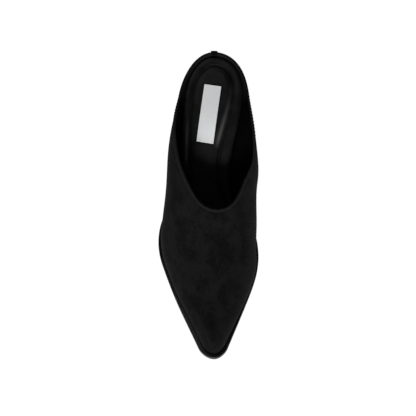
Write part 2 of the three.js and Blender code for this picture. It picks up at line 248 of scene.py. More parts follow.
TOPLINE = table("at inside outside", [
    [0.00, 0.090, 0.090],
    [0.18, 0.140, 0.145],
    [0.35, 0.280, 0.300],
    [0.55, 0.485, 0.565],
    [0.75, 0.700, 0.785],
    [0.90, 0.885, 0.940],
    [1.00, 1.000, 1.000],
])

SOCK_RIM = table("at inside outside", [
    [0.00, 1.00, 1.00],
    [0.06, 0.88, 0.84],
    [0.15, 0.98, 0.76],
    [0.32, 1.25, 0.84],
    [0.50, 1.05, 0.95],
    [1.00, 1.00, 1.00],
])

SOCK_PROFILE = table("row inset height", [
    [0, 0.00, 0.00],
    [1, 0.00, 0.48],
    [2, 0.07, 0.70],
    [3, 0.26, 0.80],
    [4, 0.46, 0.74],
    [5, 0.58, 0.56],
    [6, 0.70, 0.78],
    [7, 1.00, 1.00],
], Bend.LEVEL)

HEEL_LEVELS = table("height back depth width", [
    [0.00, 0.100, 0.600, 0.740],
    [0.14, 0.108, 0.590, 0.735],
    [0.32, 0.104, 0.600, 0.755],
    [0.52, 0.080, 0.650, 0.800],
    [0.72, 0.045, 0.745, 0.870],
    [0.88, 0.016, 0.870, 0.950],
    [1.00, 0.000, 1.000, 1.000],
])


def unit(vectors: Points) -> Points:
    """The same directions, each one metre long."""
    return vectors / np.linalg.norm(vectors, axis=-1, keepdims=True)


def column(side: Side) -> str:
    """Name of a table's column for one side."""
    return "inside" if side is Side.INNER else "outside"


def spaced(start: float, stop: float, count: int) -> Points:
    """Even steps from start, leaving out the stop."""
    return np.linspace(start, stop, count + 1)[:-1]


def flat(y: Points) -> Points:
    """The floor's height at each point."""
    return 0 * y


def smooth(values: Points, low: float, high: float) -> Points:
    """0 below low and 1 above high, with a soft step between."""
    t = np.clip((values - low) / (high - low), 0, 1)
    return t * t * (3 - 2 * t)


@dataclass(frozen=True)
class Last:
    """The foot's form that every piece is built on, and the stack of layers under it."""

    length: float = 251 * MM
    ball: float = 81 * MM
    instep: float = 66 * MM
    heel: float = 57 * MM
    toe_spring: float = 7 * MM
    heel_round: float = 40 * MM
    toe_round: float = 6 * MM
    throat: float = 143 * MM
    wall: float = 2.2 * MM
    sole: float = 3.6 * MM
    midsole: float = 2.2 * MM
    ledge: float = 5.2 * MM
    gap: float = 0.3 * MM
    toe_bend: float = 0.80
    toe_pole: float = 0.955
    heel_bend: float = 0.20
    heel_pole: float = 0.10
    bow_out: float = 0.6
    bow_up: float = 0.4
    bow_end: float = 0.45
    shoulder: float = 0.42
    crown: float = 0.55

    def share(self, y: Points) -> Points:
        """Share of the full length at which a point lies."""
        return 0.5 - y / self.length

    def sole_under(self, y: Points) -> Points:
        """Height of the outsole's underside."""
        at = self.share(y)
        return self.heel * BOTTOM["rise"](at) + self.toe_spring * BOTTOM["spring"](at)

    def midsole_under(self, y: Points) -> Points:
        """Height of the midsole's underside."""
        return self.sole_under(y) + self.sole + self.gap

    def footing(self, y: Points) -> Points:
        """Height at which upper and insole stand on the midsole."""
        return self.midsole_under(y) + self.midsole + self.gap

    def rounding(self, at: Points) -> Points:
        """Share of its full breadth that the outline has left where its ends are rounded.

        Args:
            at: Stations along the shoe.

        Returns:
            A share for each station.
        """
        heel = np.minimum(1, at * self.length / self.heel_round)
        toe = np.minimum(1, (1 - at) * self.length / self.toe_round)
        return np.sqrt(1 - (1 - heel) ** 2) * np.sqrt(1 - (1 - toe) ** 2)

    def outline(self, angle: Points, side: Side) -> Points:
        """Feather edge in plan.

        Args:
            angle: 0 at the back of the heel and pi at the toe tip, past which it runs on to the
                other side.
            side: Side of the shoe.

        Returns:
            A point for each angle, shaped (n, 2).
        """
        over = (angle < 0) | (angle > math.pi)
        angle = np.where(angle < 0, -angle, np.where(angle > math.pi, 2 * math.pi - angle, angle))
        at = (1 - np.cos(angle)) / 2
        here = side.value * SECTIONS[column(side)](at)
        there = side.other.value * SECTIONS[column(side.other)](at)
        x = np.where(over, there, here) * self.ball * self.rounding(at)
        return np.stack([x, self.length * (0.5 - at)], -1)

    def outwards(self, at: Points, side: Side) -> Points:
        """Direction straight out of the outline, level with the floor.

        Args:
            at: Stations along the shoe.
            side: Side of the shoe.

        Returns:
            A direction for each station, shaped (n, 3).
        """
        step = 0.004  # radians of the outline's angle
        angle = np.arccos(1 - 2 * at)
        along = unit(self.outline(angle + step, side) - self.outline(angle - step, side))
        sign = side.value
        return np.stack([-along[:, 1] * sign, along[:, 0] * sign, np.zeros(len(at))], -1)

    def edge(self, at: Points, side: Side, out: Points | float, height: Surface) -> Points:
        """Points of the feather edge, moved out and put on a surface.

        Args:
            at: Stations along the shoe.
            side: Side of the shoe.
            out: Distance out of the feather edge.
            height: Surface that carries the points.

        Returns:
            A point for each station, shaped (n, 3).
        """
        plan = self.outline(np.arccos(1 - 2 * at), side)
        points = np.column_stack([plan, np.zeros(len(at))])
        points = points + self.outwards(at, side) * np.broadcast_to(out, len(at))[:, None]
        points[:, 2] = height(points[:, 1])
        return points

    def spine(self, at: Points) -> Points:
        """Where the ribs meet the ridge, short of both ends.

        Args:
            at: Stations along the shoe.

        Returns:
            A station on the ridge for each rib.
        """
        toe = np.maximum(0, (at - self.toe_bend) / (1 - self.toe_bend))
        heel = np.maximum(0, (self.heel_bend - at) / self.heel_bend)
        return at - (1 - self.toe_pole) * toe**2 + self.heel_pole * heel**2

    def crest(self, at: Points) -> Points:
        """Highest line of the last.

        Args:
            at: Stations along the shoe.

        Returns:
            A point for each station, shaped (n, 3).
        """
        met = self.spine(at)
        y = self.length * (0.5 - met)
        z = self.footing(y) + SECTIONS["crest"](met) * self.instep
        return np.stack([SECTIONS["ridge"](met) * self.ball, y, z], -1)

    def middle(self, at: Points) -> Points:
        """Middle line of the insole in plan.

        Args:
            at: Stations along the shoe.

        Returns:
            A point for each station, shaped (n, 3).
        """
        met = self.spine(at)
        aside = (SECTIONS["inside"](met) - SECTIONS["outside"](met)) / 2 * self.ball
        return np.stack([aside, self.length * (0.5 - met), np.zeros(len(at))], -1)

    def origin(self) -> Points:
        """Finds the last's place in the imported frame, from the outsole's box.

        Returns:
            Where its middle lies, on the floor.
        """
        at = spread(0, 1, 400)
        out = SECTIONS["ledge"](at) * self.ledge
        own = np.concatenate([self.edge(at, side, out, self.sole_under) for side in Side])
        low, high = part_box("outsole")
        middle = (np.array(low) + np.array(high)) / 2 - (own.min(0) + own.max(0)) / 2
        return np.array([middle[0], middle[1], 0.0])


def spread(start: float, stop: float, count: int) -> Points:
    """Places from start to stop that crowd together towards both."""
    return start + (stop - start) * (1 - np.cos(np.pi * np.arange(count + 1) / count)) / 2


def stations(last: Last, behind: int = 120, ahead: int = 110) -> Points:
    """Stations along the shoe, crowded at both ends and at the throat.

    Args:
        last: The form.
        behind: Steps behind the throat.
        ahead: Steps before the throat.

    Returns:
        Shares of the full length.
    """
    throat = last.throat / last.length
    return np.concatenate([spread(0, throat, behind)[:-1], spread(throat, 1, ahead)])


@dataclass
class Ribs:
    """Ribs of one side of the last at some stations, from the feather edge to the ridge."""

    last: Last
    at: Points
    side: Side
    lower: Points = field(init=False)
    upper: Points = field(init=False)

    def __post_init__(self) -> None:
        """Works out the two bows of each rib."""
        last, at = self.last, self.at
        up = np.array([0.0, 0.0, 1.0])
        foot = last.edge(at, self.side, 0.0, last.footing)
        top = last.crest(at)
        bulge_name = "bulge_in" if self.side is Side.INNER else "bulge_out"
        bulge = (SECTIONS[bulge_name](at) * last.ball)[:, None] * last.outwards(at, self.side)
        rise = (SECTIONS["bulge_up"](at) * (top[:, 2] - foot[:, 2]))[:, None] * up
        widest = foot + bulge + rise
        self.lower = np.stack([foot, foot + last.bow_out * bulge + last.bow_up * rise,
                               widest - last.bow_end * rise, widest])
        reach = (widest - top) * [1, 1, 0]
        step = 0.01  # share of the length
        ahead = last.crest(np.minimum(1, at + step))
        behind = last.crest(np.maximum(0, at - step))
        fall = (ahead[:, 2] - behind[:, 2]) / (ahead[:, 1] - behind[:, 1])
        self.upper = np.stack([
            widest,
            widest + (last.shoulder * (top[:, 2] - widest[:, 2]))[:, None] * up,
            top + last.crown * reach + (last.crown * reach[:, 1] * fall)[:, None] * up,
            top,
        ])

    def points(self, along: Points) -> Points:
        """Points up the ribs.

        Args:
            along: Places from 0 at the feather edge over 1 at the bulge to 2 at the ridge, shaped
                (stations, rows).

        Returns:
            Points, shaped (stations, rows, 3).
        """
        def bow(controls: Points, t: Points) -> Points:
            """Points of a bow.

            Args:
                controls: Its four controls, from its start to its end.
                t: Shares of the way along it.

            Returns:
                The points.
            """
            a, b, c, d = controls[:, :, None, :]
            t = t[:, :, None]
            return a * (1 - t)**3 + 3 * b * t * (1 - t)**2 + 3 * c * t**2 * (1 - t) + d * t**3

        low = bow(self.lower, np.clip(along, 0, 1))
        high = bow(self.upper, np.clip(along - 1, 0, 1))
        return np.where((along <= 1)[:, :, None], low, high)

    def ends(self) -> Points:
        """Where the topline cuts the ribs.

        Returns:
            A place on each rib from 0 at the feather edge, or 2 at and past the throat.
        """
        last = self.last
        throat = last.crest(np.array([last.throat / last.length]))[0]
        tall = throat[2] - last.footing(throat[1])
        shares = TOPLINE[column(self.side)](self.at * last.length / last.throat)
        height = last.footing(last.length * (0.5 - self.at)) + shares * tall
        low = np.zeros(len(self.at))
        high = np.full(len(self.at), 2.0)
        for _ in range(HALVINGS):
            middle = (low + high) / 2
            under = self.points(middle[:, None])[:, 0, 2] < height
            low, high = np.where(under, middle, low), np.where(under, high, middle)
        return np.where(self.at * last.length > last.throat - TOUCH, 2.0, low)


@dataclass
class Skin:
    """Points and panels of a piece in the making."""

    points: Points = field(default_factory=lambda: np.zeros((0, 3)))
    panels: list[Panel] = field(default_factory=list)

    def grid(self, rows: Points, turned: bool = False) -> None:
        """Adds a grid of points, with a panel between each four.

        Args:
            rows: Points, shaped (rows, columns, 3).
            turned: Whether the panels face the other way.
        """
        count, width = rows.shape[:2]
        index = np.arange(count * width).reshape(count, width) + len(self.points)
        corners = [index[:-1, :-1], index[1:, :-1], index[1:, 1:], index[:-1, 1:]]
        panels = np.stack(corners[::-1] if turned else corners, -1).reshape(-1, 4)
        self.points = np.concatenate([self.points, rows.reshape(-1, 3)])
        self.panels += [tuple(panel) for panel in panels.tolist()]

    def weld(self) -> Points:
        """Joins points that lie together and drops panels that shrink to nothing.

        Returns:
            The direction out of the skin at each point that is left.
        """
        mesh = bmesh.new()
        verts = [mesh.verts.new(point) for point in self.points]
        for panel in self.panels:
            mesh.faces.new([verts[k] for k in panel])
        bmesh.ops.remove_doubles(mesh, verts=mesh.verts, dist=WELD)
        bmesh.ops.dissolve_degenerate(mesh, edges=mesh.edges, dist=WELD / 2)
        mesh.normal_update()
        mesh.verts.index_update()
        self.points = np.array([vert.co for vert in mesh.verts])
        self.panels = [tuple(vert.index for vert in face.verts) for face in mesh.faces]
        normals = np.array([vert.normal for vert in mesh.verts])
        mesh.free()
        return normals

    def back(self, others: Points) -> int:
        """Makes a solid between this sheet and its other face.

        Args:
            others: A point of the other face for each point of the sheet.

        Returns:
            How many of the panels are the sheet's own.
        """
        count, own = len(self.points), len(self.panels)
        edges: dict[tuple[int, int], None] = {}
        for panel in self.panels:
            for start, end in zip(panel, panel[1:] + panel[:1]):
                if (end, start) in edges:
                    del edges[(end, start)]
                else:
                    edges[(start, end)] = None
        backs = [tuple(k + count for k in reversed(panel)) for panel in self.panels]
        rims = [(end, start, start + count, end + count) for start, end in edges]
        self.points = np.concatenate([self.points, others])
        self.panels += rims + backs
        return own

    def piece(self, name: str, origin: Points, *finishes: Material, closed: bool = True) -> Piece:
        """Turns the skin into a smooth piece at its place in the frame.

        Args:
            name: Name of the piece.
            origin: Where the middle of the last lies.
            finishes: Materials, in the order of the panels' finish numbers.
            closed: Whether all its panels are to be turned outwards.

        Returns:
            The piece's object.
        """
        mesh = bpy.data.meshes.new(name)
        mesh.from_pydata((self.points + origin).tolist(), [], self.panels)
        mesh.validate()
        for finish in finishes:
            mesh.materials.append(finish)
        mesh.polygons.foreach_set("use_smooth", [True] * len(mesh.polygons))
        if closed:
            work = bmesh.new()
            work.from_mesh(mesh)
            bmesh.ops.recalc_face_normals(work, faces=work.faces)
            work.to_mesh(mesh)
            work.free()
        return put_up(name, mesh)


def two_sided(half: Callable[[Side], Points]) -> Skin:
    """A skin from the grids of both sides, not welded yet.

    Args:
        half: Points of one side, shaped (rows, columns, 3).

    Returns:
        The skin.
    """
    skin = Skin()
    for side in Side:
        skin.grid(half(side), turned=side is Side.INNER)
    return skin


def put_up(name: str, data: bpy.types.ID) -> Piece:
    """Puts an object in the scene.

    Args:
        name: Its name.
        data: Its mesh, lamp or camera.

    Returns:
        The object.
    """
    made = bpy.data.objects.new(name, data)
    bpy.context.scene.collection.objects.link(made)
    return made


def mark(made: Piece, name: str, values: Points) -> None:
    """Writes one number for each point of a piece, for its finish to read."""
    attribute = made.data.attributes.new(name, "FLOAT", "POINT")
    attribute.data.foreach_set("value", np.asarray(values, np.float32))


def nearest(points: Points, line: Points) -> tuple[Points, Points]:
    """The dot of a line that lies nearest to each point.

    Args:
        points: Points, shaped (n, 3).
        line: The line's dots, shaped (m, 3).

    Returns:
        The dots' numbers, and their distances in metres.
    """
    tree = KDTree(len(line))
    for k, dot in enumerate(line):
        tree.insert(dot, k)
    tree.balance()
    found = [tree.find(point) for point in points]
    return np.array([hit[1] for hit in found]), np.array([hit[2] for hit in found])


def dotted(line: Points, pitch: float) -> Points:
    """Spreads the dots of a line evenly.

    Args:
        line: Points of the line.
        pitch: About how far apart the dots are wanted.

    Returns:
        The dots.
    """
    steps = np.linalg.norm(np.diff(line, axis=0), axis=1)
    run = np.concatenate([[0], np.cumsum(steps)])
    places = np.linspace(0, run[-1], max(2, round(run[-1] / pitch)))
    return np.stack([np.interp(places, run, line[:, axis]) for axis in range(3)], -1)


def add_node(tree: bpy.types.NodeTree, kind: str, inputs: dict[str | int, object],
             **settings: object) -> bpy.types.Node:
    """Adds a node to a tree.

    Args:
        tree: The tree.
        kind: Blender's name for the node.
        inputs: Numbers for its inputs, or the sockets that feed them.
        settings: Its other properties.

    Returns:
        The node.
    """
    node = tree.nodes.new(kind)
    for name, value in settings.items():
        setattr(node, name, value)
    for name, value in inputs.items():
        if isinstance(value, Socket):
            tree.links.new(value, node.inputs[name])
        else:
            node.inputs[name].default_value = value
    return node


class Bench:
    """Node tree of one finish, with short ways to add its nodes."""

    def __init__(self, name: str) -> None:
        """Starts a finish.

        Args:
            name: Its material's name.
        """
        self.made = bpy.data.materials.new(name)
        self.made.use_nodes = True
        self.tree = self.made.node_tree
        self.shader = self.tree.nodes["Principled BSDF"]
        self.place = self.tree.nodes.new("ShaderNodeTexCoord").outputs["Object"]
        self.normal: Socket | None = None

    def add(self, kind: str, inputs: dict[str | int, object], **settings: object) -> bpy.types.Node:
        """Adds a node to the finish."""
        return add_node(self.tree, kind, inputs, **settings)

    def noise(self, size: float, detail: float = 3.0, stretch: Sequence[float] = (1, 1, 1)) -> Socket:
        """A soft random pattern.

        Args:
            size: Breadth of its patches in metres.
            detail: How many finer patterns lie on it.
            stretch: How much it is drawn together along each axis.

        Returns:
            Its value, about 0 to 1.
        """
        scale = [share / size for share in stretch]
        mapping = self.add("ShaderNodeMapping", {"Vector": self.place, "Scale": scale})
        inputs = {"Vector": mapping.outputs[0], "Scale": 1.0, "Detail": detail, "Roughness": 0.55}
        return self.add("ShaderNodeTexNoise", inputs).outputs[0]

    def cells(self, size: float) -> Socket:
        """A pebble grain.

        Args:
            size: Breadth of its pebbles in metres.

        Returns:
            Distance to the middle of each pebble, from 0 to 1.
        """
        mapping = self.add("ShaderNodeMapping", {"Vector": self.place, "Scale": [1 / size] * 3})
        inputs = {"Vector": mapping.outputs[0], "Scale": 1.0}
        return self.add("ShaderNodeTexVoronoi", inputs, feature="SMOOTH_F1").outputs["Distance"]

    def ramp(self, value: Socket, low: float, high: float) -> Socket:
        """A soft step between two values, which falls where low is more than high.

        Args:
            value: What it follows.
            low: Value at which it is 0.
            high: Value at which it is 1.

        Returns:
            The step, from 0 to 1.
        """
        start, stop = (0.0, 1.0) if low < high else (1.0, 0.0)
        inputs = {"Value": value, "From Min": min(low, high), "From Max": max(low, high),
                  "To Min": start, "To Max": stop}
        return self.add("ShaderNodeMapRange", inputs, interpolation_type="SMOOTHSTEP").outputs[0]

    def times(self, first: Socket, second: Socket | float) -> Socket:
        """Product of two values."""
        return self.add("ShaderNodeMath", {0: first, 1: second}, operation="MULTIPLY").outputs[0]

    def read(self, name: str) -> Socket:
        """The number that the piece carries under a name."""
        return self.add("ShaderNodeAttribute", {}, attribute_name=name).outputs["Fac"]

    def tint(self, share: Socket, low: object, high: Sequence[float]) -> Socket:
        """A colour between two.

        Args:
            share: 0 for the low colour and 1 for the high one.
            low: Colour or socket.
            high: Colour.

        Returns:
            The mixed colour.
        """
        return self.add("ShaderNodeMix", {0: share, 6: low, 7: high}, data_type="RGBA").outputs[2]

    def bump(self, height: Socket, depth: float) -> None:
        """Presses a pattern into the surface.

        Args:
            height: The pattern.
            depth: How deep it goes, in metres.
        """
        inputs = {"Height": height, "Distance": depth, "Strength": 1.0}
        if self.normal is not None:
            inputs["Normal"] = self.normal
        self.normal = self.add("ShaderNodeBump", inputs).outputs[0]

    def done(self, colour: Socket, **values: float) -> Material:
        """Joins colour and bumps to the shader and sets its even values.

        Args:
            colour: Base colour.
            values: The shader's sockets, with _ for a space.

        Returns:
            The finish's material.
        """
        self.tree.links.new(colour, self.shader.inputs["Base Color"])
        if self.normal is not None:
            self.tree.links.new(self.normal, self.shader.inputs["Normal"])
        for name, value in values.items():
            self.shader.inputs[name.replace("_", " ")].default_value = value
        return self.made


def grey(value: float) -> tuple[float, float, float, float]:
    """A neutral grey."""
    return (value, value, value, 1.0)


@dataclass(frozen=True)
class Suede:
    """Black suede: a short soft nap, brushed in patches that catch the light."""

    name: str
    dark: float = 0.0024
    light: float = 0.0055
    paler_tone_and_painted_light: float = 0.013
    edged: bool = False
    fold: float = 2.3 * MM
    trench: float = 0.3 * MM
    tuft_wear: float = 0.22
    fibre_wear: float = 0.25
    fold_lightening: float = 0.5
    low_painted_shade: float = 0.6

    def material(self) -> Material:
        """Builds the finish.

        Returns:
            Its material.
        """
        bench = Bench(self.name)
        brushed = bench.noise(11 * MM, 3, (1, 0.75, 1))
        tufts = bench.noise(1.8 * MM, 3, (1, 0.7, 1))
        fibres = bench.noise(0.35 * MM, 4, (1, 0.5, 1))
        dark, light, paler_tone_and_painted_light = grey(self.dark), grey(self.light), grey(self.paler_tone_and_painted_light)
        colour = bench.tint(bench.ramp(brushed, 0.36, 0.64), dark, light)
        colour = bench.tint(bench.times(bench.ramp(tufts, 0.42, 0.72), self.tuft_wear), colour, paler_tone_and_painted_light)
        colour = bench.tint(bench.times(bench.ramp(fibres, 0.5, 0.85), self.fibre_wear), colour, paler_tone_and_painted_light)
        if self.edged:
            depth = bench.read("from_topline")
            # lighter band along the folded topline
            band = bench.ramp(depth, self.fold, self.fold - 0.5 * MM)
            colour = bench.tint(bench.times(band, self.fold_lightening), colour, paler_tone_and_painted_light)
            # painted shade: the suede is darker towards the feather edge, where the upper meets the
            # midsole ledge
            low = bench.ramp(bench.read("from_feather"), 5 * MM, 0.5 * MM)
            colour = bench.tint(bench.times(low, self.low_painted_shade), colour, dark)
            trench = self.fold + self.trench
            past = bench.add("ShaderNodeMath", {0: depth, 1: -trench}, operation="ADD").outputs[0]
            apart = bench.add("ShaderNodeMath", {0: past}, operation="ABSOLUTE").outputs[0]
            bench.bump(bench.ramp(apart, 0.0, 0.45 * MM), 0.14 * MM)
        bench.bump(tufts, 0.16 * MM)
        bench.bump(fibres, 0.11 * MM)
        return bench.done(colour, Roughness=0.96, Specular_IOR_Level=0.04,
                          Sheen_Weight=0.011, Sheen_Roughness=0.5)


@dataclass(frozen=True)
class Leather:
    """Smooth black leather with a fine pebble grain and a dull polish."""

    name: str
    dark: float = 0.0016
    light: float = 0.0046
    grain: float = 0.9 * MM
    depth: float = 0.045 * MM
    roughness: float = 0.48
    shine: float = 0.1
    paler_tone_and_painted_light: float = 0.0

    def material(self) -> Material:
        """Builds the finish, lighter where the piece marks painted light.

        Returns:
            Its material.
        """
        bench = Bench(self.name)
        cloud = bench.noise(11 * MM, 3)
        pores = bench.noise(0.25 * MM, 2)
        colour = bench.tint(bench.ramp(cloud, 0.3, 0.7), grey(self.dark), grey(self.light))
        # painted light: lighter where the piece's attribute says, as painted highlights on the sock and
        # partly painted light on the lining's heel
        if self.paler_tone_and_painted_light:
            colour = bench.tint(bench.read("paler_tone_and_painted_light"), colour, grey(self.paler_tone_and_painted_light))
        bench.bump(bench.noise(6 * MM, 2), 0.10 * MM)
        bench.bump(bench.cells(self.grain), self.depth)
        bench.bump(pores, 0.02 * MM)
        return bench.done(colour, Roughness=self.roughness, Specular_IOR_Level=self.shine)


@dataclass(frozen=True)
class EdgeInk:
    """Inked and waxed edge of a sole, with the fine lines of its layers."""

    name: str = "edge_ink"
    dark: float = 0.008
    light: float = 0.019

    def material(self) -> Material:
        """Builds the finish.

        Returns:
            Its material.
        """
        bench = Bench(self.name)
        layers = bench.noise(1.1 * MM, 3, (0.08, 0.08, 1))
        scuffs = bench.noise(5 * MM, 4)
        colour = bench.tint(bench.ramp(scuffs, 0.35, 0.7), grey(self.dark), grey(self.light))
        bench.bump(layers, 0.05 * MM)
        bench.bump(bench.noise(0.4 * MM, 3), 0.03 * MM)
        return bench.done(colour, Roughness=0.42, Specular_IOR_Level=0.12)


@dataclass(frozen=True)
class Foil:
    """Satin silver foil on a thin backing, left bare."""

    name: str = "silver_foil"

    def material(self) -> Material:
        """Builds the finish.

        Returns:
            Its material.
        """
        bench = Bench(self.name)
        cloud = bench.noise(9 * MM, 3)
        colour = bench.tint(cloud, (0.72, 0.725, 0.735, 1), (0.80, 0.805, 0.815, 1))
        bench.bump(bench.noise(0.5 * MM, 3, (1, 0.2, 1)), 0.012 * MM)
        return bench.done(colour, Metallic=0.35, Roughness=0.5)


@dataclass(frozen=True)
class Rubber:
    """Matt black rubber with a fine moulded grit."""

    name: str = "lift_rubber"

    def material(self) -> Material:
        """Builds the finish.

        Returns:
            Its material.
        """
        bench = Bench(self.name)
        grit = bench.noise(0.6 * MM, 3)
        colour = bench.tint(bench.noise(7 * MM, 3), grey(0.006), grey(0.013))
        bench.bump(grit, 0.06 * MM)
        return bench.done(colour, Roughness=0.72)


@dataclass(frozen=True)
class Thread:
    """Black sewing thread with its twist."""

    name: str = "thread"

    def material(self) -> Material:
        """Builds the finish.

        Returns:
            Its material.
        """
        bench = Bench(self.name)
        twist = bench.noise(0.22 * MM, 2)
        colour = bench.tint(twist, grey(0.002), grey(0.006))
        bench.bump(twist, 0.05 * MM)
        return bench.done(colour, Roughness=0.7, Specular_IOR_Level=0.2)


@dataclass(frozen=True)
class StitchLine:
    """A line of stitches along a path, each one a short bulging length of thread."""

    pitch: float = 3.1 * MM
    length: float = 2.3 * MM
    thick: float = 0.5 * MM

    def tree(self) -> bpy.types.NodeTree:
        """Builds the node tree that lays a stitch at each step of a path.

        Returns:
            The tree, with Path, Pitch, Length, Thick and Finish as its inputs.
        """
        tree = bpy.data.node_groups.new("stitch_line", "GeometryNodeTree")
        kinds = {"Path": "Geometry", "Pitch": "Float", "Length": "Float", "Thick": "Float",
                 "Finish": "Material"}
        for name, kind in kinds.items():
            tree.interface.new_socket(name, in_out="INPUT", socket_type=f"NodeSocket{kind}")
        tree.interface.new_socket("Stitches", in_out="OUTPUT", socket_type="NodeSocketGeometry")
        add = partial(add_node, tree)
        given = tree.nodes.new("NodeGroupInput").outputs
        path = add("GeometryNodeMeshToCurve", {"Mesh": given["Path"]})
        steps = {"Curve": path.outputs[0], "Length": given["Pitch"]}
        dots = add("GeometryNodeCurveToPoints", steps, mode="LENGTH")
        bead = add("GeometryNodeMeshIcoSphere", {"Radius": 0.5, "Subdivisions": 2})
        sizes = {"X": given["Thick"], "Y": given["Thick"], "Z": given["Length"]}
        turn = add("FunctionNodeAlignRotationToVector", {"Vector": dots.outputs["Tangent"]}, axis="Z")
        laid = add("GeometryNodeInstanceOnPoints", {
            "Points": dots.outputs["Points"],
            "Instance": bead.outputs["Mesh"],
            "Rotation": turn.outputs[0],
            "Scale": add("ShaderNodeCombineXYZ", sizes).outputs[0],
        })
        round_off = add("GeometryNodeSetShadeSmooth", {"Geometry": laid.outputs[0]})
        real = add("GeometryNodeRealizeInstances", {"Geometry": round_off.outputs[0]})
        dressing = {"Geometry": real.outputs[0], "Material": given["Finish"]}
        dressed = add("GeometryNodeSetMaterial", dressing)
        tree.links.new(dressed.outputs[0], tree.nodes.new("NodeGroupOutput").inputs[0])
        return tree

    def sew(self, name: str, path: Points, finish: Material) -> Piece:
        """Lays the stitches and makes them a plain mesh.

        Args:
            name: Name of the piece.
            path: Points that the line follows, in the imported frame.
            finish: Material of the thread.

        Returns:
            The piece's object.
        """
        mesh = bpy.data.meshes.new(name)
        mesh.from_pydata(path.tolist(), [(k, k + 1) for k in range(len(path) - 1)], [])
        made = put_up(name, mesh)
        tree = self.tree()
        modifier = made.modifiers.new("stitches", "NODES")
        modifier.node_group = tree
        values = {"Pitch": self.pitch, "Length": self.length, "Thick": self.thick, "Finish": finish}
        for item in tree.interface.items_tree:
            if item.name in values:
                modifier[item.identifier] = values[item.name]
        graph = bpy.context.evaluated_depsgraph_get()
        plain = bpy.data.meshes.new_from_object(made.evaluated_get(graph))
        made.modifiers.remove(modifier)
        made.data = plain
        return made


@dataclass(frozen=True)
class Crease:
    """A soft trough in the upper, or a ridge where its depth is negative.

    Its ends are distances forward of the back of the heel and towards the inner side.
    """

    start: tuple[float, float]
    end: tuple[float, float]
    width: float
    depth: float

    def press(self, last: Last, points: Points) -> Points:
        """How far each point is pressed in.

        Args:
            last: The form.
            points: Points of the upper.

        Returns:
            Depths in metres.
        """
        a = np.array([self.start[1], last.length / 2 - self.start[0]])
        b = np.array([self.end[1], last.length / 2 - self.end[0]])
        plan = points[:, :2] - a
        t = np.clip(plan @ (b - a) / ((b - a) @ (b - a)), 0, 1)
        apart = np.linalg.norm(plan - t[:, None] * (b - a), axis=1)
        return self.depth * np.exp(-((apart / self.width) ** 2))


@dataclass
class OnLast:
    """A sub-assembly on the last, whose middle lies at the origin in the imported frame."""

    last: Last
    origin: Points


